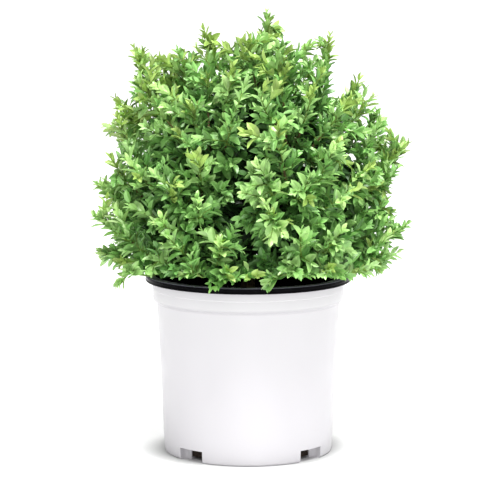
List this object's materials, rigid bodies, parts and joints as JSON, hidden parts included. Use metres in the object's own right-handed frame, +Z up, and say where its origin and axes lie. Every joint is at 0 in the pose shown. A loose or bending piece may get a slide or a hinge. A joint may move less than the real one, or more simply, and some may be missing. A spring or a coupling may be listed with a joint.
{
  "type": "potted boxwood shrub",
  "caption": "Rounded evergreen shrub with small opposite leaves on upright twigs, growing from a short trunk in a tapered white nursery pot with a black rolled rim.",
  "frame": {"origin": "on the pot's axis, on the flat underside of its floor", "axes": "+Z up along the pot's axis; -Y towards the front, midway between two of the drain scoops"},
  "size_m": [0.3664, 0.3554, 0.5056],
  "materials": {
    "pot_white": "smooth satin white",
    "rim_black": "smooth satin black",
    "potting_mix_brown": "rough moist bark mix",
    "bark": "rough grey-brown bark",
    "leaf_green": "satin leaves"
  },
  "bodies": {
    "root": {"pot": "pot_white", "pot_rim": "rim_black", "potting_mix": "potting_mix_brown", "trunk": "bark", "leader": "bark", "bough_1": "bark", "bough_2": "bark", "bough_3": "bark", "bough_4": "bark", "bough_5": "bark", "bough_6": "bark", "branch_1": "bark", "branch_2": "bark", "branch_3": "bark", "branch_4": "bark", "branch_5": "bark", "branch_6": "bark", "branch_7": "bark", "branch_8": "bark", "branch_9": "bark", "branch_10": "bark", "branch_11": "bark", "branch_12": "bark", "foliage_1": "leaf_green", "foliage_2": "leaf_green", "foliage_3": "leaf_green", "foliage_4": "leaf_green", "foliage_5": "leaf_green", "foliage_6": "leaf_green", "foliage_7": "leaf_green", "foliage_8": "leaf_green", "foliage_9": "leaf_green", "foliage_10": "leaf_green", "foliage_11": "leaf_green", "foliage_12": "leaf_green", "foliage_13": "leaf_green", "foliage_14": "leaf_green", "foliage_15": "leaf_green", "foliage_16": "leaf_green", "foliage_17": "leaf_green", "foliage_18": "leaf_green", "foliage_19": "leaf_green"}
  },
  "joints": []
}
